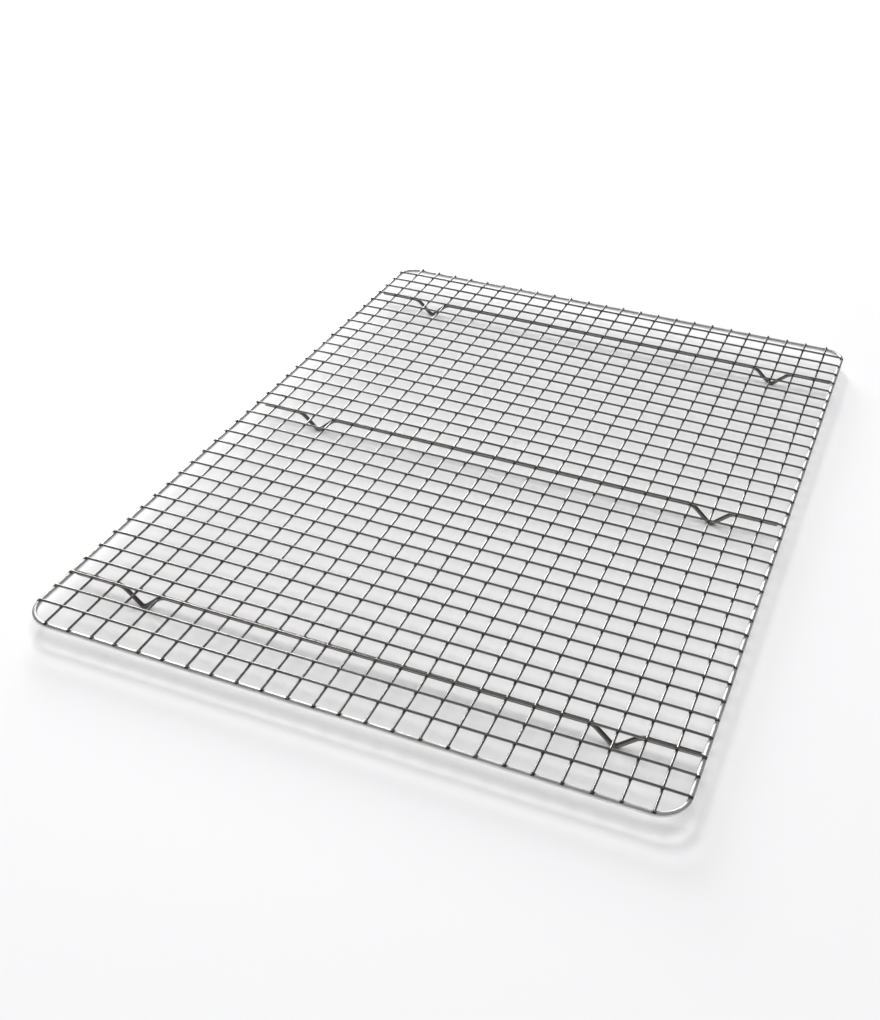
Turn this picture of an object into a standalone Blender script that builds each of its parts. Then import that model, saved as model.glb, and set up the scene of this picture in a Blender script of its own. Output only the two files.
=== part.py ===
"""A half-sheet wire cooling rack, in metres.

A fine grid of straight wires is welded inside a thicker border wire and stands on three leg wires.
From the top down the layers are: cross wires, long wires, and then the leg wires. The border lies
under the wires that end on it, so its long sides are one wire higher than its short sides, and it
climbs from one to the other in its round corners. +X runs across the rack, +Y along it, and +Z is
up. The origin is the middle of the rack on the surface that its six feet stand on.
"""

import math

import bmesh
import bpy
from mathutils import Vector

# Wire gauges.
GRID_DIAMETER = 0.0012
BORDER_DIAMETER = 0.0024
LEG_DIAMETER = 0.0022

# The grid.
PITCH = 0.012
CELLS_ACROSS = 25
CELLS_ALONG = 36
CORNER_RADIUS = 0.0125
END_PAST_BORDER_MIDDLE = 0.0002

# The leg wires and their V-shaped feet.
FOOT_DROP = 0.00785
FOOT_HALF_SPAN = 0.0130
FOOT_FROM_BORDER = 0.0370
FOOT_TIP_RADIUS = 0.0030
FOOT_SHOULDER_RADIUS = 0.0070
LEG_PLACES = {"front": -0.1772, "middle": 0.0031, "back": 0.1723}
LEG_END_GAP = 0.0010

# Clearance between touching wires, and the spot weld that bridges it where wires are joined.
CLEARANCE = 0.0003
SPOT_WELD_DIAMETER = 0.0008

# Resolution of the round work.
BEND_STEPS = 5
CORNER_STEPS = 9
THICK_WIRE_BEVEL = 4
THIN_WIRE_BEVEL = 2
SPOT_WELD_SIDES = 8


def foot_slope():
    """How steep a foot's straight arms are, found by halving the interval that holds the angle."""
    radii = FOOT_TIP_RADIUS + FOOT_SHOULDER_RADIUS
    low, high = 0.1, math.pi / 2
    for _ in range(60):
        angle = (low + high) / 2
        straight_drop = FOOT_DROP - radii * (1 - math.cos(angle))
        run = radii * math.sin(angle) + straight_drop / math.tan(angle)
        if run > FOOT_HALF_SPAN:
            low = angle
        else:
            high = angle
    return angle


# What follows from the driving dimensions. Each foot stands on the level facet under its tip.
GRID_RADIUS = GRID_DIAMETER / 2
BORDER_RADIUS = BORDER_DIAMETER / 2
LEG_RADIUS = LEG_DIAMETER / 2
HALF_WIDTH = CELLS_ACROSS * PITCH / 2
HALF_LENGTH = CELLS_ALONG * PITCH / 2
FOOT_SLOPE = foot_slope()
HALF_FACET = math.pi / (4 + 2 * THICK_WIRE_BEVEL)
TIP_LEVEL = LEG_RADIUS * math.cos(HALF_FACET) * math.cos(FOOT_SLOPE / BEND_STEPS)
LEG_LEVEL = TIP_LEVEL + FOOT_DROP
LONG_LEVEL = LEG_LEVEL + LEG_RADIUS + CLEARANCE + GRID_RADIUS
CROSS_LEVEL = LONG_LEVEL + GRID_DIAMETER + CLEARANCE
BORDER_LEVEL = LONG_LEVEL - GRID_RADIUS - CLEARANCE - BORDER_RADIUS
BORDER_LIFT = CROSS_LEVEL - LONG_LEVEL
EDGE_LONG_X = HALF_WIDTH - PITCH
EDGE_CROSS_Y = HALF_LENGTH - PITCH

GRID_STEEL = ("grid_steel", (0.66, 0.66, 0.65), 0.30)
BORDER_STEEL = ("border_steel", (0.62, 0.62, 0.61), 0.32)
LEG_STEEL = ("leg_steel", (0.48, 0.47, 0.46), 0.38)


def clear_scene():
    """Remove every object that is in the file at the start."""
    for obj in list(bpy.data.objects):
        bpy.data.objects.remove(obj, do_unlink=True)


def make_collection(name):
    """A collection linked to the scene."""
    collection = bpy.data.collections.new(name)
    bpy.context.scene.collection.children.link(collection)
    return collection


def metal(name, steel):
    """A plain metal material for one wire."""
    colour, roughness = steel[1], steel[2]
    material = bpy.data.materials.new(name)
    material.use_nodes = True
    shader = material.node_tree.nodes["Principled BSDF"]
    shader.inputs["Base Color"].default_value = (*colour, 1.0)
    shader.inputs["Metallic"].default_value = 1.0
    shader.inputs["Roughness"].default_value = roughness
    material.diffuse_color = (*colour, 1.0)
    return material


def wire(name, points, diameter, bevel_resolution, steel, collection, closed=False, roll=0.0):
    """A round wire along a line of points, with flat cut ends unless it is closed."""
    curve = bpy.data.curves.new(name, "CURVE")
    curve.dimensions = "3D"
    curve.bevel_depth = diameter / 2
    curve.bevel_resolution = bevel_resolution
    curve.use_fill_caps = not closed
    curve.twist_mode = "Z_UP"
    spline = curve.splines.new("POLY")
    spline.points.add(len(points) - 1)
    for spline_point, place in zip(spline.points, points):
        spline_point.co = (*place, 1.0)
        spline_point.tilt = roll
    spline.use_cyclic_u = closed
    obj = bpy.data.objects.new(name, curve)
    obj.data.materials.append(metal(name + "_metal", steel))
    collection.objects.link(obj)
    return obj


def arc(centre, radius, start, end, steps, flat):
    """Points along an arc from one angle to another. A flat arc lies in XY, an upright one in XZ."""
    points = []
    for step in range(steps + 1):
        angle = start + (end - start) * step / steps
        across = radius * math.cos(angle)
        up = radius * math.sin(angle)
        offset = Vector((across, up, 0)) if flat else Vector((across, 0, up))
        points.append(Vector(centre) + offset)
    return points


def border_lift(x):
    """How far the border is lifted: from nothing on its short sides, evenly round each corner."""
    past_short_side = max(0.0, abs(x) - HALF_WIDTH + CORNER_RADIUS)
    turned = math.asin(min(1.0, past_short_side / CORNER_RADIUS))
    return BORDER_LIFT * turned / (math.pi / 2)


def border_points():
    """The border's centreline: a rectangle with round corners, counter-clockwise from above."""
    inset_x = HALF_WIDTH - CORNER_RADIUS
    inset_y = HALF_LENGTH - CORNER_RADIUS
    corners = ((inset_x, inset_y), (-inset_x, inset_y), (-inset_x, -inset_y), (inset_x, -inset_y))
    points = []
    for index, (x, y) in enumerate(corners):
        start = index * math.pi / 2
        centre = (x, y, BORDER_LEVEL)
        points += arc(centre, CORNER_RADIUS, start, start + math.pi / 2, CORNER_STEPS, flat=True)
    for point in points:
        point.z += border_lift(point.x)
    return points


def long_wire_points(x):
    """A straight wire from front to back, which passes over the border's short sides."""
    end = HALF_LENGTH + END_PAST_BORDER_MIDDLE
    return [Vector((x, -end, LONG_LEVEL)), Vector((x, end, LONG_LEVEL))]


def cross_wire_points(y):
    """A straight wire from left to right, which passes over the border's long sides."""
    end = HALF_WIDTH + END_PAST_BORDER_MIDDLE
    return [Vector((-end, y, CROSS_LEVEL)), Vector((end, y, CROSS_LEVEL))]


def shoulder(centre_x, side, y):
    """The bend on one side of a foot, from the level wire to the top of the foot's straight arm."""
    centre = (centre_x + side * FOOT_HALF_SPAN, y, LEG_LEVEL - FOOT_SHOULDER_RADIUS)
    top = math.pi / 2
    steep = top + side * FOOT_SLOPE
    return arc(centre, FOOT_SHOULDER_RADIUS, top, steep, BEND_STEPS, flat=False)


def foot_points(centre_x, y):
    """One V-shaped foot, from left to right. An odd number of steps leaves the tip's middle level."""
    bottom = -math.pi / 2
    middle_level = FOOT_TIP_RADIUS * math.cos(FOOT_SLOPE / BEND_STEPS)
    centre = (centre_x, y, TIP_LEVEL + middle_level)
    first, last = bottom - FOOT_SLOPE, bottom + FOOT_SLOPE
    tip = arc(centre, FOOT_TIP_RADIUS, first, last, BEND_STEPS, flat=False)
    return shoulder(centre_x, -1, y) + tip + shoulder(centre_x, 1, y)[::-1]


def leg_points(y):
    """A leg wire from left to right, just inside the border, with a foot near each end."""
    end = HALF_WIDTH - BORDER_RADIUS - LEG_END_GAP
    foot_x = HALF_WIDTH - FOOT_FROM_BORDER
    start = [Vector((-end, y, LEG_LEVEL))]
    finish = [Vector((end, y, LEG_LEVEL))]
    return start + foot_points(-foot_x, y) + foot_points(foot_x, y) + finish


def as_mesh(obj, collection):
    """The same object as a closed mesh, in place of the curve."""
    depsgraph = bpy.context.evaluated_depsgraph_get()
    mesh = bpy.data.meshes.new_from_object(obj.evaluated_get(depsgraph))
    work = bmesh.new()
    work.from_mesh(mesh)
    bmesh.ops.remove_doubles(work, verts=work.verts, dist=0.00001)
    work.to_mesh(mesh)
    work.free()
    name = obj.name
    place = obj.matrix_world.copy()
    bpy.data.objects.remove(obj, do_unlink=True)
    made = bpy.data.objects.new(name, mesh)
    made.matrix_world = place
    collection.objects.link(made)
    return made


def spot_weld(name, x, y, collection):
    """The weld between a long wire and the cross wire above it, as a short upright cylinder."""
    mesh = bpy.data.meshes.new(name)
    work = bmesh.new()
    bmesh.ops.create_cone(
        work,
        cap_ends=True,
        segments=SPOT_WELD_SIDES,
        radius1=SPOT_WELD_DIAMETER / 2,
        radius2=SPOT_WELD_DIAMETER / 2,
        depth=CROSS_LEVEL - LONG_LEVEL,
    )
    work.to_mesh(mesh)
    work.free()
    obj = bpy.data.objects.new(name, mesh)
    obj.location = (x, y, (LONG_LEVEL + CROSS_LEVEL) / 2)
    collection.objects.link(obj)
    return obj


def join_on(base, others):
    """Join other meshes to the base as one solid."""
    for other in others:
        other.hide_render = True
        other.display_type = "WIRE"
        union = base.modifiers.new("join_" + other.name, "BOOLEAN")
        union.operation = "UNION"
        union.object = other


def build_border(parts):
    """The thick border wire, its two ends butt-welded into a closed loop."""
    wire("border_wire", border_points(), BORDER_DIAMETER, THICK_WIRE_BEVEL, BORDER_STEEL, parts,
         closed=True)


def build_edge_wires(parts, joined):
    """The grid's four outermost wires, as one frame joined by the spot welds at its corners."""
    sides = ((-1, "left"), (1, "right"))
    ends = ((-1, "front"), (1, "back"))
    base = wire("edge_wires", long_wire_points(-EDGE_LONG_X), GRID_DIAMETER, THIN_WIRE_BEVEL,
                GRID_STEEL, parts)
    wires = [wire("edge_long_right", long_wire_points(EDGE_LONG_X), GRID_DIAMETER,
                  THIN_WIRE_BEVEL, GRID_STEEL, joined)]
    for end, word in ends:
        wires.append(wire("edge_cross_" + word, cross_wire_points(end * EDGE_CROSS_Y),
                          GRID_DIAMETER, THIN_WIRE_BEVEL, GRID_STEEL, joined))
    bpy.context.view_layer.update()
    base = as_mesh(base, parts)
    others = [as_mesh(thin_wire, joined) for thin_wire in wires]
    for side, side_word in sides:
        for end, end_word in ends:
            name = f"spot_weld_{end_word}_{side_word}"
            others.append(spot_weld(name, side * EDGE_LONG_X, end * EDGE_CROSS_Y, joined))
    join_on(base, others)


def build_grid(parts):
    """The other grid wires, numbered from the left and from the front, after the edge wires."""
    for number in range(2, CELLS_ACROSS - 1):
        points = long_wire_points(number * PITCH - HALF_WIDTH)
        wire(f"long_wire_{number:02d}", points, GRID_DIAMETER, THIN_WIRE_BEVEL, GRID_STEEL, parts)
    for number in range(2, CELLS_ALONG - 1):
        points = cross_wire_points(number * PITCH - HALF_LENGTH)
        wire(f"cross_wire_{number:02d}", points, GRID_DIAMETER, THIN_WIRE_BEVEL, GRID_STEEL, parts)


def build_legs(parts):
    """The three leg wires, each rolled so that a flat facet is at the bottom."""
    for word, y in LEG_PLACES.items():
        wire("leg_wire_" + word, leg_points(y), LEG_DIAMETER, THICK_WIRE_BEVEL, LEG_STEEL, parts,
             roll=HALF_FACET)


def main():
    clear_scene()
    parts = make_collection("cooling_rack")
    joined = make_collection("joined_pieces")
    build_border(parts)
    build_edge_wires(parts, joined)
    build_grid(parts)
    build_legs(parts)


main()
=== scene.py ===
"""The looks of a half-sheet wire cooling rack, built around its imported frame. Metres, +Z up.

Every wire is rebuilt as a fine round wire that touches its neighbours, in the place of the CAD
wire it stands for, with small beads of weld metal where the wires cross.
From the top down the layers are: cross wires, long wires, and then the leg wires. The border lies
under the wires that end on it, so its long sides are higher than its short sides.
"""

import math
import random

import bpy
import numpy as np
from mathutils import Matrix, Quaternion, Vector

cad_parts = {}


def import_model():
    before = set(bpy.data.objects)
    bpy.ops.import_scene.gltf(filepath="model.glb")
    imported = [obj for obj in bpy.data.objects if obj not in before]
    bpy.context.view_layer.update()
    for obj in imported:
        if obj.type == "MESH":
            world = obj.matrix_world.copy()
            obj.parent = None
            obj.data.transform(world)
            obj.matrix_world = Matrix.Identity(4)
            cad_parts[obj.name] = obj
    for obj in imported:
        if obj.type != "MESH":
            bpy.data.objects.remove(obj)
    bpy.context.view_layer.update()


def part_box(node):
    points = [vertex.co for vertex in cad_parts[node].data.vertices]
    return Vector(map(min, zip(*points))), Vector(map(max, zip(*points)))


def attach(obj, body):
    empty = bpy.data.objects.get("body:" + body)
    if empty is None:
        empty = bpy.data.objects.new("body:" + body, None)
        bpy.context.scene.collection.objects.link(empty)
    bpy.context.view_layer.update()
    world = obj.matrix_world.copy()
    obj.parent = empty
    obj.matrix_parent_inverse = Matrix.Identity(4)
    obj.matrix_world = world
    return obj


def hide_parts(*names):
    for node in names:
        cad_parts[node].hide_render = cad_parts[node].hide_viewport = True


# Wire gauges, and how far two welded wires sink into each other.
GRID_RADIUS = 0.0006
BORDER_RADIUS = 0.0012
LEG_RADIUS = 0.0011
WELD_SINK = 0.0002

# The grid. Wires are numbered from 1, from the left and from the front, and the first and last
# of each kind are the edge wires. The long wires end a little past the border's middle. The cross
# wires' ends are pressed down over a short length, and on the right they stop a little short of
# the border's middle. The last long wire lies nearer the border than the even pitch would put it.
LONG_COUNT = 24
CROSS_COUNT = 35
CROSS_END_DIP = 0.0002
DIP_LENGTH = 0.0140
PAST_DIP = 0.0040
LAST_LONG_SHIFT = 0.0008
END_PAST_BORDER_MIDDLE = 0.0002
RIGHT_END_SHORT = 0.0003

# The border's corners, and the butt weld that closes it, with finer rings on both sides of it.
CORNER_RADIUS = 0.0125
SEAM_SWELL = 0.07
SEAM_LENGTH = 0.0009
SEAM_REACH = 4 * SEAM_LENGTH

# The leg wires and their V-shaped feet.
FOOT_FROM_BORDER = 0.0370
FOOT_HALF_SPAN = 0.0130
FOOT_TIP_RADIUS = 0.0030
FOOT_SHOULDER_RADIUS = 0.0070
LEG_END_INSETS = {"front": 0.0018, "middle": 0.0036, "back": 0.0018}

# The weld metal squeezed out at a crossing: its reach between two wires and along them, its half
# height, and how much each of these varies.
WELD_REACH = 0.00096
WELD_REACH_ALONG = 0.00070
WELD_HALF_HEIGHT = 0.00032
WELD_VARIATION = 0.13
THICK_WELD_SCALE = 1.25

# The small irregularities of a welded wire rack: the largest deviation of each kind.
PLACE_ERROR = 0.00020
WAVE_HEIGHT = 0.00012
SAG = 0.00012
END_ERROR = 0.00025

# Resolution: the sides of a wire, the spacing of its rings, the finer spacing near bends, the
# steps in each bend, and the points of a weld bead.
GRID_SIDES = 16
THICK_SIDES = 24
RING_SPACING = 0.006
FINE_SPACING = 0.0012
SEAM_STEPS = 12
CORNER_STEPS = 14
SHOULDER_STEPS = 10
TIP_STEPS = 12
SLOPE_HALVINGS = 60
BEAD_AROUND = 16
BEAD_BANDS = 4

# The chamfer of a cut end, and the angle from which an edge is drawn sharp.
CHAMFER = 0.00008
SHARP_ANGLE = math.radians(35)

# The camera.
CAMERA_PLACE = (0.18740, -0.58265, 0.38255)
CAMERA_TARGET = (-0.01283, -0.06035, 0.01190)
CAMERA_ROLL = math.radians(2.17)
CAMERA_LENS = 46.9

# The steels: one metal given three shades of colour. The grid's colour is darker than the steel's own.
# It is painted shade that stands in for the dark surroundings its wires reflect.
# The leg wires' colour is darker still, painted shade of lying under the grid. The border's colour is
# lighter, a painted sheen. The edge tint dims their reflections at grazing angles.
SHADED_GRID_STEEL = {"colour": (0.32, 0.313, 0.302), "roughness": 0.23, "edge_tint": 0.55}
SHEEN_BORDER_STEEL = {"colour": (0.84, 0.835, 0.825), "roughness": 0.52, "edge_tint": 1.0}
SHADED_LEG_STEEL = {"colour": (0.20, 0.19, 0.18), "roughness": 0.32, "edge_tint": 0.5}

# The drawn finish: streaks per metre across and along a wire, and stains and grain per metre.
STREAKS_ACROSS = 2200
STREAKS_ALONG = 55
STAINS = 70
GRAIN = 5200
WELD_GRAIN = 2600

# How bright the darkest and palest lines are beside the steel's own colour, how much one wire's
# tone differs from another's, and how deep the lines are.
DARK_LINES = 0.74
PALE_LINES = 1.16
WIRE_TONE_SHARE = 0.35
LINE_DEPTH = 0.00002

# How far from a crossing the wires are darkened with painted shade, the shade of the crevice where two
# wires cross, how strongly, and how much rougher they are there. The welds themselves also have
# straw-coloured patches.
CROSSING_SHADE_REACH = 0.0010
CROSSING_SHADE_STRENGTH = 0.40
CROSSING_ROUGHNESS = 0.16
CROSSING_SHADE_COLOUR = (0.085, 0.068, 0.055)
STRAW_COLOUR = (0.24, 0.20, 0.15)
WELD_BUMP_DEPTH = 0.00004

# The studio. Light directions point from the rack to the light: a key that draws the shadows, a
# low window that draws the gleam along the wires, and a broad fill that evens out the floor.
KEY = {"direction": (-0.40, 0.50, 0.77), "distance": 5.0, "size": 1.5, "power": 98}
WINDOW = {"direction": (-0.52, 0.80, 0.32), "distance": 4.0, "size": 1.5, "power": 108}
FILL = {"direction": (0.05, -0.10, 1.0), "distance": 5.0, "size": 3.5, "power": 150}
WALLS_LIGHT = 0.07
CEILING_LIGHT = 0.34
BACKDROP_LIGHT = 0.80
WALLS_HEIGHT = 0.15
CEILING_HEIGHT = 0.95
FLOOR_COLOUR = (0.78, 0.78, 0.79)
FLOOR_ROUGHNESS = 0.7
FLOOR_HALF = 8.0

SEED = 7


def centre(node):
    """The middle of a CAD node's box."""
    low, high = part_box(node)
    return (low + high) / 2


class Layout:
    """Where the wires lie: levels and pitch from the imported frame, and each wire's small errors."""

    def __init__(self, chance):
        first = centre("long_wire_02")
        self.pitch = centre("long_wire_03").x - first.x
        self.long_level = first.z
        self.cross_level = self.long_level + 2 * GRID_RADIUS - WELD_SINK
        seat = GRID_RADIUS + BORDER_RADIUS - WELD_SINK
        self.short_side_level = self.long_level - seat
        self.long_side_level = self.cross_level - CROSS_END_DIP - seat
        self.leg_level = self.long_level - GRID_RADIUS - LEG_RADIUS + WELD_SINK
        self.half_width = (LONG_COUNT + 1) * self.pitch / 2
        self.half_length = (CROSS_COUNT + 1) * self.pitch / 2
        self.long_errors = [self.wire_errors(chance) for _ in range(LONG_COUNT)]
        self.cross_errors = [self.wire_errors(chance) for _ in range(CROSS_COUNT)]

    @staticmethod
    def wire_errors(chance):
        """A wire's sideways shift, and the phase of its wander."""
        return chance.uniform(-1, 1) * PLACE_ERROR, chance.uniform(0, 2 * math.pi)

    def long_x(self, number):
        return number * self.pitch - self.half_width

    def cross_y(self, number):
        return number * self.pitch - self.half_length

    def long_point(self, number, y):
        """The centre of a long wire at a distance along the rack."""
        shift, phase = self.long_errors[number - 1]
        if number == LONG_COUNT:
            shift += LAST_LONG_SHIFT
        held = 1 - smooth_step((abs(y) - self.half_length + self.pitch) / self.pitch)
        x = self.long_x(number) + shift + WAVE_HEIGHT * wave(y, phase) * held
        return Vector((x, y, self.long_level + surface_sag(x, y)))

    def cross_point(self, number, x):
        """The centre of a cross wire at a distance across the rack. Its ends dip to the border."""
        shift, phase = self.cross_errors[number - 1]
        y = self.cross_y(number) + shift + WAVE_HEIGHT * wave(x, phase)
        seat = self.half_width - BORDER_RADIUS / 2
        dip = CROSS_END_DIP * smooth_step((abs(x) - seat + DIP_LENGTH) / DIP_LENGTH)
        return Vector((x, y, self.cross_level - dip + surface_sag(x, y)))

    def border_point(self, x, y):
        """The border's centre, which climbs from its short to its long sides in the corners."""
        past_short_side = max(0.0, abs(x) - self.half_width + CORNER_RADIUS)
        turned = math.asin(min(1.0, past_short_side / CORNER_RADIUS))
        climb = smooth_step(turned / (math.pi / 2))
        level = self.short_side_level + (self.long_side_level - self.short_side_level) * climb
        return Vector((x, y, level + surface_sag(x, y)))


def surface_sag(x, y):
    """How far the grid's surface lies from dead flat: a slow, shallow warp."""
    return SAG * (math.sin(7.0 * x + 1.3) * math.cos(6.0 * y - 0.4) - 0.5)


def wave(along, phase):
    """A slow sideways wander along a wire, from minus one to one."""
    return 0.65 * math.sin(41.0 * along + phase) + 0.35 * math.sin(97.0 * along + 2.3 * phase)


def stations(start, end, fine_ends):
    """Distances along a wire, closer together near each end if the ends bend."""
    places = list(np.linspace(start, end, max(2, round((end - start) / RING_SPACING) + 1)))
    if fine_ends:
        reach = DIP_LENGTH + PAST_DIP
        steps = round(reach / FINE_SPACING)
        near = [start + reach * k / steps for k in range(steps + 1)]
        far = [end - reach * k / steps for k in range(steps + 1)]
        middle = [p for p in places if start + reach < p < end - reach]
        places = sorted(near + middle + far)
    return places


def smooth_step(value):
    """From 0 to 1, level at both ends."""
    value = min(1.0, max(0.0, value))
    return value * value * (3 - 2 * value)


def path_frame(path, side_axis, closed):
    """The distance along a path, its direction, and two directions across it, at each point."""
    if closed:
        forward = np.roll(path, -1, axis=0)
        tangents = forward - np.roll(path, 1, axis=0)
        steps = np.linalg.norm(forward - path, axis=1)[:-1]
    else:
        tangents = np.gradient(path, axis=0)
        steps = np.linalg.norm(np.diff(path, axis=0), axis=1)
    along = np.concatenate([[0.0], np.cumsum(steps)])
    tangents /= np.linalg.norm(tangents, axis=1)[:, None]
    first = np.cross(np.array(side_axis, float), tangents)
    first /= np.linalg.norm(first, axis=1)[:, None]
    return along, tangents, first, np.cross(tangents, first)


def chamfer_ends(path, along, tangents, first, second, radii):
    """The same rings with one more at each cut end, where the wire narrows to its chamfer."""
    path = np.concatenate([path[:1], path[:1] + tangents[:1] * CHAMFER, path[1:-1],
                           path[-1:] - tangents[-1:] * CHAMFER, path[-1:]])
    along = np.concatenate([along[:1], along[:1] + CHAMFER, along[1:-1],
                            along[-1:] - CHAMFER, along[-1:]])
    first = np.concatenate([first[:1], first, first[-1:]])
    second = np.concatenate([second[:1], second, second[-1:]])
    radii = np.concatenate([radii[:1] - CHAMFER, radii, radii[-1:] - CHAMFER])
    return path, along, first, second, radii


def tube_faces(count, sides, closed):
    """The faces between a wire's rings, and the two flat ends unless it is closed."""
    corners = np.arange(count * sides).reshape(count, sides)
    next_ring = np.roll(corners, -1, axis=0) if closed else corners[1:]
    this_ring = corners if closed else corners[:-1]
    faces = np.stack([this_ring, np.roll(this_ring, -1, axis=1),
                      np.roll(next_ring, -1, axis=1), next_ring], axis=2).reshape(-1, 4).tolist()
    if not closed:
        faces.append(corners[0][::-1].tolist())
        faces.append(corners[-1].tolist())
    return faces


def wire_mesh(name, path, radius, sides, side_axis, closed=False, swell=None):
    """A round wire along a path, with chamfered cut ends unless it is closed.

    The mesh keeps a vector on each vertex, drawn_lines: the way round the wire as two
    coordinates, and the distance along it, so that a material can run its lines along the wire.
    """
    path = np.array([tuple(p) for p in path])
    along, tangents, first, second = path_frame(path, side_axis, closed)
    radii = np.full(len(path), radius)
    if swell is not None:
        radii = radii * swell(along)
    if not closed:
        path, along, first, second, radii = chamfer_ends(path, along, tangents, first, second, radii)
    angles = np.arange(sides) * 2 * math.pi / sides
    across = radii[:, None, None] * np.stack([np.cos(angles), np.sin(angles)], axis=1)
    rings = path[:, None, :] + across[:, :, :1] * first[:, None, :]
    rings = rings + across[:, :, 1:] * second[:, None, :]
    count = len(path)
    mesh = bpy.data.meshes.new(name)
    mesh.from_pydata(rings.reshape(-1, 3).tolist(), [], tube_faces(count, sides, closed))
    distance = np.broadcast_to(along[:, None, None], (count, sides, 1))
    lines = np.concatenate([across, distance], axis=2)
    attribute = mesh.attributes.new("drawn_lines", "FLOAT_VECTOR", "POINT")
    attribute.data.foreach_set("vector", lines.astype(np.float32).ravel())
    mesh.shade_smooth()
    mesh.set_sharp_from_angle(angle=SHARP_ANGLE)
    return mesh


def add_piece(name, mesh, material, nodes):
    """One visible piece, in place of the CAD nodes that it stands for."""
    piece = bpy.data.objects.new(name, mesh)
    bpy.context.scene.collection.objects.link(piece)
    mesh.materials.append(material)
    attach(piece, "root")
    if nodes:
        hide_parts(*nodes)
    return piece


def wire_node(kind, number, count):
    """The CAD node that holds a grid wire."""
    return "edge_wires" if number in (1, count) else f"{kind}_wire_{number:02d}"


def long_wire(layout, number, material, chance):
    """One wire from front to back, across the border's short sides."""
    reach = layout.half_length + END_PAST_BORDER_MIDDLE
    start = -reach + chance.uniform(-1, 1) * END_ERROR
    end = reach + chance.uniform(-1, 1) * END_ERROR
    path = [layout.long_point(number, y) for y in stations(start, end, fine_ends=False)]
    mesh = wire_mesh(f"long_{number:02d}", path, GRID_RADIUS, GRID_SIDES, (0, 0, 1))
    add_piece(f"long_{number:02d}", mesh, material,
              [wire_node("long", number, LONG_COUNT)])


def cross_wire(layout, number, material, chance):
    """One wire from left to right on top of the long wires, its ends pressed down on the border."""
    start = -layout.half_width + chance.uniform(-1, 1) * END_ERROR
    end = layout.half_width - RIGHT_END_SHORT + chance.uniform(-1, 1) * END_ERROR
    path = [layout.cross_point(number, x) for x in stations(start, end, fine_ends=True)]
    mesh = wire_mesh(f"cross_{number:02d}", path, GRID_RADIUS, GRID_SIDES, (0, 1, 0))
    add_piece(f"cross_{number:02d}", mesh, material,
              [wire_node("cross", number, CROSS_COUNT)])


def border_outline(layout):
    """The border's centreline in plan, anticlockwise from the seam, finer close to the seam."""
    front = -layout.half_length
    inset_x = layout.half_width - CORNER_RADIUS
    inset_y = layout.half_length - CORNER_RADIUS
    outline = [(k * SEAM_REACH / SEAM_STEPS, front) for k in range(SEAM_STEPS)]
    outline += [(x, front) for x in np.arange(SEAM_REACH, inset_x, RING_SPACING)]
    corners = ((inset_x, -inset_y), (inset_x, inset_y), (-inset_x, inset_y), (-inset_x, -inset_y))
    for index, (x, y) in enumerate(corners):
        start = (index - 1) * math.pi / 2
        outline += [(x + CORNER_RADIUS * math.cos(angle), y + CORNER_RADIUS * math.sin(angle))
                    for angle in (start + math.pi / 2 * step / CORNER_STEPS
                                  for step in range(CORNER_STEPS + 1))]
        if index < 3:
            heading = Vector(corners[index + 1]) - Vector((x, y))
            count = round(heading.length / RING_SPACING)
            last = Vector(outline[-1])
            outline += [tuple(last + heading * k / count) for k in range(1, count)]
    outline += [(x, front) for x in np.arange(-inset_x + RING_SPACING, -SEAM_REACH, RING_SPACING)]
    outline += [(-k * SEAM_REACH / SEAM_STEPS, front) for k in range(SEAM_STEPS, 0, -1)]
    return outline


def seam_swell(along):
    """How much thicker the border is by its butt weld, where its path starts and ends."""
    from_seam = np.minimum(along, along[-1] - along)
    return 1 + SEAM_SWELL * np.exp(-(from_seam / SEAM_LENGTH) ** 2)


def border(layout, material):
    """The thick border wire: a rectangle with round corners, closed by a butt weld at the front."""
    path = [layout.border_point(x, y) for x, y in border_outline(layout)]
    mesh = wire_mesh("border", path, BORDER_RADIUS, THICK_SIDES, (0, 0, 1), closed=True,
                     swell=seam_swell)
    add_piece("border", mesh, material, ["border_wire"])


def foot_slope(drop):
    """How steep a foot's straight arms are, found by halving the interval that holds the angle."""
    radii = FOOT_TIP_RADIUS + FOOT_SHOULDER_RADIUS
    low, high = 0.1, math.pi / 2
    for _ in range(SLOPE_HALVINGS):
        angle = (low + high) / 2
        straight_drop = drop - radii * (1 - math.cos(angle))
        run = radii * math.sin(angle) + straight_drop / math.tan(angle)
        if run > FOOT_HALF_SPAN:
            low = angle
        else:
            high = angle
    return angle


def arc(centre_x, centre_z, radius, start, end, steps):
    """Points (x, z) along an upright arc."""
    angles = [start + (end - start) * k / steps for k in range(steps + 1)]
    return [(centre_x + radius * math.cos(a), centre_z + radius * math.sin(a)) for a in angles]


def leg_outline(layout, end):
    """A leg wire's centreline as points (x, z), from left to right, with its two feet."""
    drop = layout.leg_level - LEG_RADIUS
    slope = foot_slope(drop)
    top, bottom = math.pi / 2, -math.pi / 2
    shoulder_z = layout.leg_level - FOOT_SHOULDER_RADIUS
    tip_z = LEG_RADIUS + FOOT_TIP_RADIUS
    foot_x = layout.half_width - FOOT_FROM_BORDER
    points = []

    def straight_to(x):
        start_x, z = points[-1]
        count = max(2, round((x - start_x) / RING_SPACING))
        points.extend((start_x + (x - start_x) * k / count, z) for k in range(1, count))

    points.append((-end, layout.leg_level))
    for middle in (-foot_x, foot_x):
        straight_to(middle - FOOT_HALF_SPAN)
        points.extend(arc(middle - FOOT_HALF_SPAN, shoulder_z, FOOT_SHOULDER_RADIUS,
                          top, top - slope, SHOULDER_STEPS))
        points.extend(arc(middle, tip_z, FOOT_TIP_RADIUS,
                          bottom - slope, bottom + slope, TIP_STEPS))
        points.extend(arc(middle + FOOT_HALF_SPAN, shoulder_z, FOOT_SHOULDER_RADIUS,
                          top + slope, top, SHOULDER_STEPS))
    straight_to(end)
    points.append((end, layout.leg_level))
    return points


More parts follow.
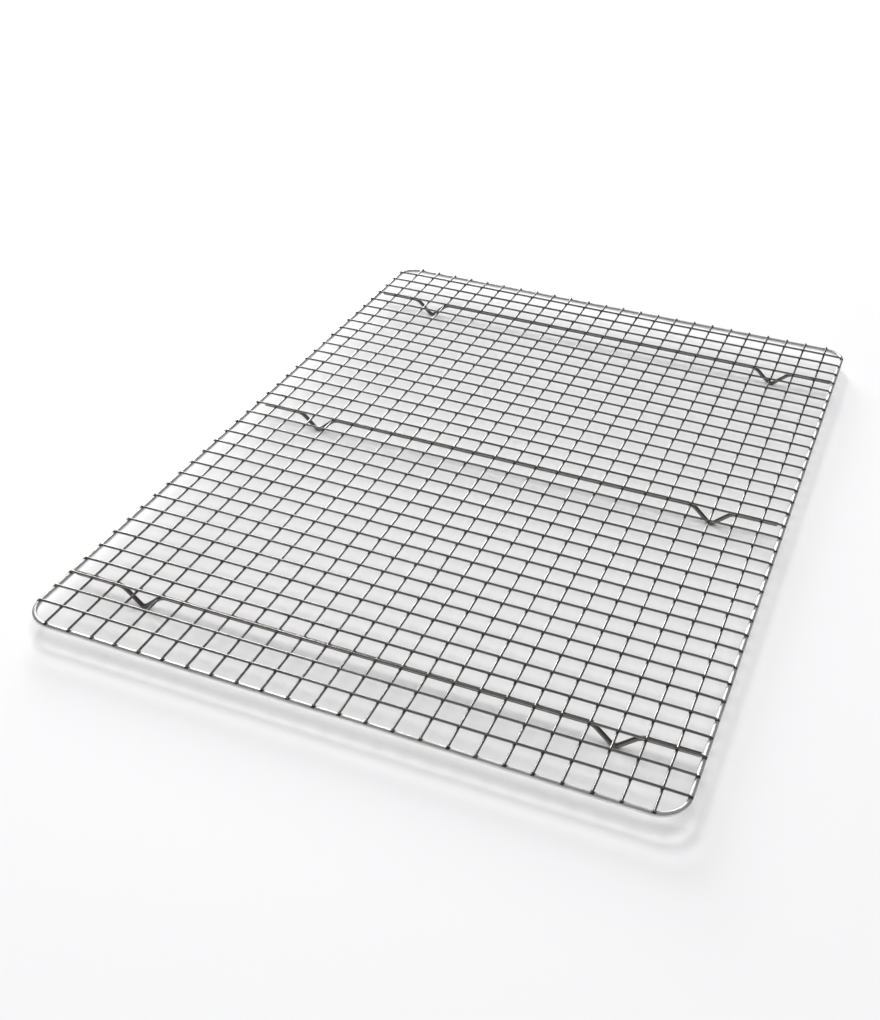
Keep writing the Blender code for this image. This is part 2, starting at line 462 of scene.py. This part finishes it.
def leg_wire(layout, word, material):
    """One leg wire, which ends just inside the border."""
    node = "leg_wire_" + word
    y = centre(node).y
    end = layout.half_width - LEG_END_INSETS[word]
    path = []
    for x, z in leg_outline(layout, end):
        path.append((x, y, z + surface_sag(x, y) * z / layout.leg_level))
    mesh = wire_mesh("leg_" + word, path, LEG_RADIUS, THICK_SIDES, (0, 1, 0))
    add_piece("leg_" + word, mesh, material, [node])


def weld_shape():
    """A bead of unit size as points and faces. It is widest between the two wires that it joins."""
    around, bands = BEAD_AROUND, BEAD_BANDS
    points = [(0.0, 0.0, 1.0)]
    for band in range(1, bands):
        tilt = math.pi * band / bands
        for step in range(around):
            turn = 2 * math.pi * step / around
            between = abs(math.sin(2 * turn))
            reach = WELD_REACH_ALONG + (WELD_REACH - WELD_REACH_ALONG) * between
            spread = math.sin(tilt) * reach / WELD_REACH
            points.append((spread * math.cos(turn), spread * math.sin(turn), math.cos(tilt)))
    points.append((0.0, 0.0, -1.0))
    faces = []
    last = len(points) - 1
    for step in range(around):
        after = (step + 1) % around
        faces.append((0, 1 + step, 1 + after))
        for band in range(bands - 2):
            ring = 1 + band * around
            faces.append((ring + step, ring + around + step, ring + around + after, ring + after))
        ring = 1 + (bands - 2) * around
        faces.append((last, ring + after, ring + step))
    return np.array(points), faces


def weld_beads(name, places, scale, material, chance):
    """A piece that holds one small bead of weld metal at each place."""
    shape, shape_faces = weld_shape()
    points, faces = [], []
    for place in places:
        size = np.array([WELD_REACH, WELD_REACH, WELD_HALF_HEIGHT]) * scale
        size *= [1 + chance.uniform(-1, 1) * WELD_VARIATION for _ in range(3)]
        first = len(points) * len(shape)
        points.append(shape * size + np.array(tuple(place)))
        faces += [tuple(first + corner for corner in face) for face in shape_faces]
    mesh = bpy.data.meshes.new(name)
    mesh.from_pydata(np.concatenate(points).tolist(), [], faces)
    mesh.shade_smooth()
    add_piece(name, mesh, material, [])


def crossing_places(layout):
    """The places of the beads: between grid wires, on the border, and on the leg wires.

    Every long wire gets a bead over each leg wire, also the two that pass over a leg wire's feet,
    where the leg wire has bent away and the bead touches the long wire alone.
    """
    longs = range(1, LONG_COUNT + 1)
    crosses = range(1, CROSS_COUNT + 1)
    grid, on_border, on_legs = [], [], []
    for long_number in longs:
        for cross_number in crosses:
            along = layout.cross_y(cross_number)
            low = layout.long_point(long_number, along)
            high = layout.cross_point(cross_number, low.x)
            grid.append((low.x, high.y, (low.z + high.z) / 2))
        for end in (-1, 1):
            place = layout.long_point(long_number, end * layout.half_length)
            place.z -= GRID_RADIUS
            on_border.append(place)
        for word in LEG_END_INSETS:
            place = layout.long_point(long_number, centre("leg_wire_" + word).y)
            place.z -= GRID_RADIUS
            on_legs.append(place)
    for cross_number in crosses:
        for side in (-1, 1):
            place = layout.cross_point(cross_number, side * layout.half_width)
            place.z -= GRID_RADIUS
            on_border.append(place)
    return grid, on_border, on_legs


def main_camera():
    """The camera at the viewing angle of the picture, rolled a little."""
    data = bpy.data.cameras.new("camera")
    data.lens = CAMERA_LENS
    data.sensor_width = 36.0
    camera = bpy.data.objects.new("camera", data)
    camera.location = CAMERA_PLACE
    heading = Vector(CAMERA_TARGET) - Vector(CAMERA_PLACE)
    camera.rotation_mode = "QUATERNION"
    camera.rotation_quaternion = heading.to_track_quat("-Z", "Y") @ Quaternion((0, 0, 1), CAMERA_ROLL)
    bpy.context.scene.collection.objects.link(camera)
    bpy.context.scene.camera = camera


def add_node(tree, kind, inputs, **settings):
    """A shader node with its settings, and its inputs either linked or set."""
    node = tree.nodes.new(kind)
    for name, value in settings.items():
        setattr(node, name, value)
    for name, value in inputs.items():
        if isinstance(value, bpy.types.NodeSocket):
            tree.links.new(value, node.inputs[name])
        else:
            node.inputs[name].default_value = value
    return node


def math_node(tree, operation, first, second, third=0.0):
    """The result of one sum on numbers or sockets."""
    inputs = {0: first, 1: second, 2: third}
    return add_node(tree, "ShaderNodeMath", inputs, operation=operation).outputs[0]


def noise(tree, vector, scale, detail):
    """A noise from about 0.2 to 0.8."""
    inputs = {"Vector": vector, "Scale": scale, "Detail": detail}
    return add_node(tree, "ShaderNodeTexNoise", inputs).outputs[0]


def remap(tree, value, low, high, to_low, to_high):
    """A number moved from one range to another and kept inside it."""
    inputs = {"Value": value, "From Min": low, "From Max": high, "To Min": to_low, "To Max": to_high}
    return add_node(tree, "ShaderNodeMapRange", inputs).outputs[0]


def mix_colours(tree, factor, first, second):
    """One colour turning into another."""
    node = tree.nodes.new("ShaderNodeMix")
    node.data_type = "RGBA"
    for socket, value in ((node.inputs[0], factor), (node.inputs[6], first), (node.inputs[7], second)):
        if isinstance(value, bpy.types.NodeSocket):
            tree.links.new(value, socket)
        else:
            socket.default_value = value
    return node.outputs[2]


def tinted(colour, brightness):
    """A colour made brighter or darker, with its alpha."""
    return tuple(channel * brightness for channel in colour) + (1.0,)


def weld_distance(tree, place, pitch, whole_row):
    """How far a point lies, in plan, from the nearest crossing, or from the nearest long wire."""
    axes = add_node(tree, "ShaderNodeSeparateXYZ", {0: place})
    half = pitch / 2
    shifted = math_node(tree, "ADD", axes.outputs[0], half)
    from_long = math_node(tree, "PINGPONG", shifted, half)
    if whole_row:
        return from_long
    from_cross = math_node(tree, "PINGPONG", axes.outputs[1], half)
    squares = math_node(tree, "MULTIPLY", from_long, from_long)
    squares = math_node(tree, "MULTIPLY_ADD", from_cross, from_cross, squares)
    return math_node(tree, "SQRT", squares, 0.0)


def drawn_steel(name, colour, roughness, edge_tint, layout, whole_row=False):
    """Bright drawn wire: fine lines along it, faint stains, and painted shade by each crossing."""
    material = bpy.data.materials.new(name)
    material.use_nodes = True
    tree = material.node_tree
    shader = tree.nodes["Principled BSDF"]
    place = add_node(tree, "ShaderNodeTexCoord", {}).outputs["Object"]
    lines = add_node(tree, "ShaderNodeAttribute", {}, attribute_name="drawn_lines").outputs["Vector"]
    stretch = (STREAKS_ACROSS, STREAKS_ACROSS, STREAKS_ALONG)
    stretched = add_node(tree, "ShaderNodeVectorMath", {0: lines, 1: stretch}, operation="MULTIPLY")
    streaks = noise(tree, stretched.outputs[0], 1.0, 3.0)
    stains = noise(tree, place, STAINS, 4.0)
    grain = noise(tree, place, GRAIN, 2.0)
    wire_tone = add_node(tree, "ShaderNodeObjectInfo", {}).outputs["Random"]

    tone = math_node(tree, "ADD", streaks, stains)
    tone = math_node(tree, "MULTIPLY_ADD", wire_tone, WIRE_TONE_SHARE, tone)
    tone = remap(tree, tone, 0.75, 1.6, 0.0, 1.0)
    steel = mix_colours(tree, tone, tinted(colour, DARK_LINES), tinted(colour, PALE_LINES))
    # Painted shade: the steel is darkened close to each crossing, where the crevice between the wires
    # lies in shade. On the leg steel it lies along each long wire that crosses it.
    distance = weld_distance(tree, place, layout.pitch, whole_row)
    ragged = math_node(tree, "MULTIPLY_ADD", grain, CROSSING_SHADE_REACH * 0.7, distance)
    crossing_shade = remap(tree, ragged, CROSSING_SHADE_REACH * 0.55, CROSSING_SHADE_REACH * 1.35, CROSSING_SHADE_STRENGTH, 0.0)
    steel = mix_colours(tree, crossing_shade, steel, tinted(CROSSING_SHADE_COLOUR, 1.0))
    tree.links.new(steel, shader.inputs["Base Color"])

    gloss = remap(tree, tone, 0.0, 1.0, roughness + 0.08, roughness - 0.05)
    gloss = math_node(tree, "MULTIPLY_ADD", crossing_shade, CROSSING_ROUGHNESS, gloss)
    tree.links.new(gloss, shader.inputs["Roughness"])
    height = math_node(tree, "MULTIPLY_ADD", grain, 0.4, streaks)
    bump_inputs = {"Height": height, "Distance": LINE_DEPTH, "Strength": 0.5}
    bump = add_node(tree, "ShaderNodeBump", bump_inputs)
    tree.links.new(bump.outputs[0], shader.inputs["Normal"])
    shader.inputs["Metallic"].default_value = 1.0
    shader.inputs["Specular Tint"].default_value = (edge_tint, edge_tint, edge_tint, 1.0)
    return material


def weld_metal():
    """The dull metal of a weld: dark grey-brown, painted shade of the crevice where the wires cross,
    with straw patches.
    """
    material = bpy.data.materials.new("weld_metal")
    material.use_nodes = True
    tree = material.node_tree
    shader = tree.nodes["Principled BSDF"]
    place = add_node(tree, "ShaderNodeTexCoord", {}).outputs["Object"]
    patches = noise(tree, place, STAINS * 6, 3.0)
    grain = noise(tree, place, WELD_GRAIN, 4.0)
    straw = remap(tree, patches, 0.45, 0.62, 0.0, 1.0)
    # Painted shade: the bead's dark grey-brown stands for the shaded crevice at the crossing.
    metal = mix_colours(tree, straw, tinted(CROSSING_SHADE_COLOUR, 1.5), tinted(STRAW_COLOUR, 1.0))
    tree.links.new(metal, shader.inputs["Base Color"])
    tree.links.new(remap(tree, grain, 0.3, 0.7, 0.36, 0.6), shader.inputs["Roughness"])
    bump_inputs = {"Height": grain, "Distance": WELD_BUMP_DEPTH, "Strength": 0.7}
    bump = add_node(tree, "ShaderNodeBump", bump_inputs)
    tree.links.new(bump.outputs[0], shader.inputs["Normal"])
    shader.inputs["Metallic"].default_value = 1.0
    return material


def area_light(name, direction, distance, size, power, in_reflections=True):
    """A soft square light that faces the rack from a direction."""
    data = bpy.data.lights.new(name, "AREA")
    data.shape = "SQUARE"
    data.size = size
    data.energy = power
    light = bpy.data.objects.new(name, data)
    light.visible_glossy = in_reflections
    heading = Vector(direction).normalized()
    light.location = heading * distance
    light.rotation_mode = "QUATERNION"
    light.rotation_quaternion = heading.to_track_quat("Z", "Y")
    bpy.context.scene.collection.objects.link(light)


def surroundings():
    """A dim room that grows lighter towards its ceiling. Behind the floor stands a pale backdrop."""
    world = bpy.data.worlds.new("studio")
    world.use_nodes = True
    tree = world.node_tree
    direction = add_node(tree, "ShaderNodeTexCoord", {}).outputs["Generated"]
    height = add_node(tree, "ShaderNodeSeparateXYZ", {0: direction}).outputs[2]
    room = remap(tree, height, WALLS_HEIGHT, CEILING_HEIGHT, WALLS_LIGHT, CEILING_LIGHT)
    seen = add_node(tree, "ShaderNodeLightPath", {}).outputs["Is Camera Ray"]
    strength = remap(tree, seen, 0.0, 1.0, room, BACKDROP_LIGHT)
    tree.links.new(strength, tree.nodes["Background"].inputs["Strength"])
    tree.nodes["Background"].inputs["Color"].default_value = (1, 1, 1, 1)
    return world


def studio():
    """A pale floor, dim surroundings and three soft lights."""
    mesh = bpy.data.meshes.new("floor")
    half = FLOOR_HALF
    mesh.from_pydata([(-half, -half, 0), (half, -half, 0), (half, half, 0), (-half, half, 0)], [],
                     [(0, 1, 2, 3)])
    floor = bpy.data.objects.new("floor", mesh)
    bpy.context.scene.collection.objects.link(floor)
    material = bpy.data.materials.new("pale_floor")
    material.use_nodes = True
    shader = material.node_tree.nodes["Principled BSDF"]
    shader.inputs["Base Color"].default_value = (*FLOOR_COLOUR, 1.0)
    shader.inputs["Roughness"].default_value = FLOOR_ROUGHNESS
    mesh.materials.append(material)
    bpy.context.scene.world = surroundings()
    bpy.context.scene.view_settings.view_transform = "Standard"
    area_light("key", **KEY, in_reflections=False)
    area_light("window", **WINDOW)
    area_light("fill", **FILL, in_reflections=False)


def main():
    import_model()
    chance = random.Random(SEED)
    layout = Layout(chance)
    grid_steel = drawn_steel("grid_steel", **SHADED_GRID_STEEL, layout=layout)
    border_steel = drawn_steel("border_steel", **SHEEN_BORDER_STEEL, layout=layout)
    leg_steel = drawn_steel("leg_steel", **SHADED_LEG_STEEL, layout=layout, whole_row=True)
    welds = weld_metal()
    for number in range(1, LONG_COUNT + 1):
        long_wire(layout, number, grid_steel, chance)
    for number in range(1, CROSS_COUNT + 1):
        cross_wire(layout, number, grid_steel, chance)
    border(layout, border_steel)
    for word in LEG_END_INSETS:
        leg_wire(layout, word, leg_steel)
    grid, on_border, on_legs = crossing_places(layout)
    weld_beads("grid_welds", grid, 1.0, welds, chance)
    weld_beads("border_welds", on_border, THICK_WELD_SCALE, welds, chance)
    weld_beads("leg_welds", on_legs, THICK_WELD_SCALE, welds, chance)
    main_camera()
    studio()


main()
